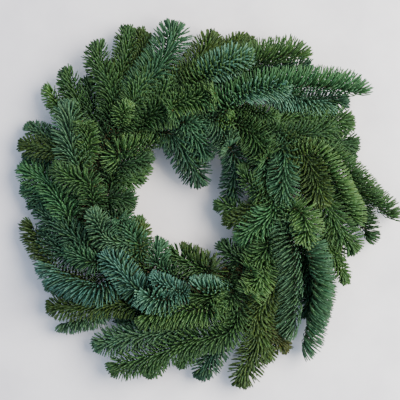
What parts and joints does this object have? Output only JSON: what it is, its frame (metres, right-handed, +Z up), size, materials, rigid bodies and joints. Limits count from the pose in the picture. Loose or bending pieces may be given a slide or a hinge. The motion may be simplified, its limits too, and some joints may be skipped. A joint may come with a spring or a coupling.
{
  "type": "advent wreath",
  "caption": "Plain round wreath of noble fir sprays, wired clockwise round a straw ring, lying flat, with a round hole in the middle",
  "frame": {"origin": "centre of the wreath's outline, on the surface that it lies on", "axes": "+Z up out of the face that is seen, +Y towards the top of the wreath as it is seen from above, +X to its right"},
  "size_m": [0.4512, 0.4446, 0.0947],
  "materials": {
    "fir": "waxy needles, matt to satin, blue-green to yellow-green",
    "straw": "dry pressed straw, matt",
    "wire": "green lacquer, satin"
  },
  "bodies": {
    "root": {"fir_spray_01": "fir", "fir_spray_02": "fir", "fir_spray_03": "fir", "fir_spray_04": "fir", "fir_spray_05": "fir", "fir_spray_06": "fir", "fir_spray_07": "fir", "fir_spray_08": "fir", "fir_spray_09": "fir", "fir_spray_10": "fir", "fir_spray_11": "fir", "fir_spray_12": "fir", "fir_spray_13": "fir", "fir_spray_14": "fir", "fir_spray_15": "fir", "fir_spray_16": "fir", "fir_spray_17": "fir", "fir_spray_18": "fir", "fir_spray_19": "fir", "fir_spray_20": "fir", "fir_spray_21": "fir", "fir_spray_22": "fir", "fir_spray_23": "fir", "fir_spray_24": "fir", "fir_spray_25": "fir", "fir_spray_26": "fir", "fir_spray_27": "fir", "fir_spray_28": "fir", "fir_spray_29": "fir", "fir_spray_30": "fir", "fir_spray_31": "fir", "fir_spray_32": "fir", "fir_spray_33": "fir", "fir_spray_34": "fir", "fir_spray_35": "fir", "fir_spray_36": "fir", "fir_spray_37": "fir", "fir_spray_38": "fir", "fir_spray_39": "fir", "fir_spray_40": "fir", "fir_spray_41": "fir", "fir_spray_42": "fir", "fir_spray_43": "fir", "fir_spray_44": "fir", "fir_spray_45": "fir", "fir_spray_46": "fir", "fir_spray_47": "fir", "fir_spray_48": "fir", "fir_spray_49": "fir", "fir_spray_50": "fir", "fir_spray_51": "fir", "fir_spray_52": "fir", "fir_spray_53": "fir", "fir_spray_54": "fir", "fir_spray_55": "fir", "fir_spray_56": "fir", "fir_spray_57": "fir", "straw_ring": "straw", "binding_wire": "wire"}
  },
  "joints": []
}
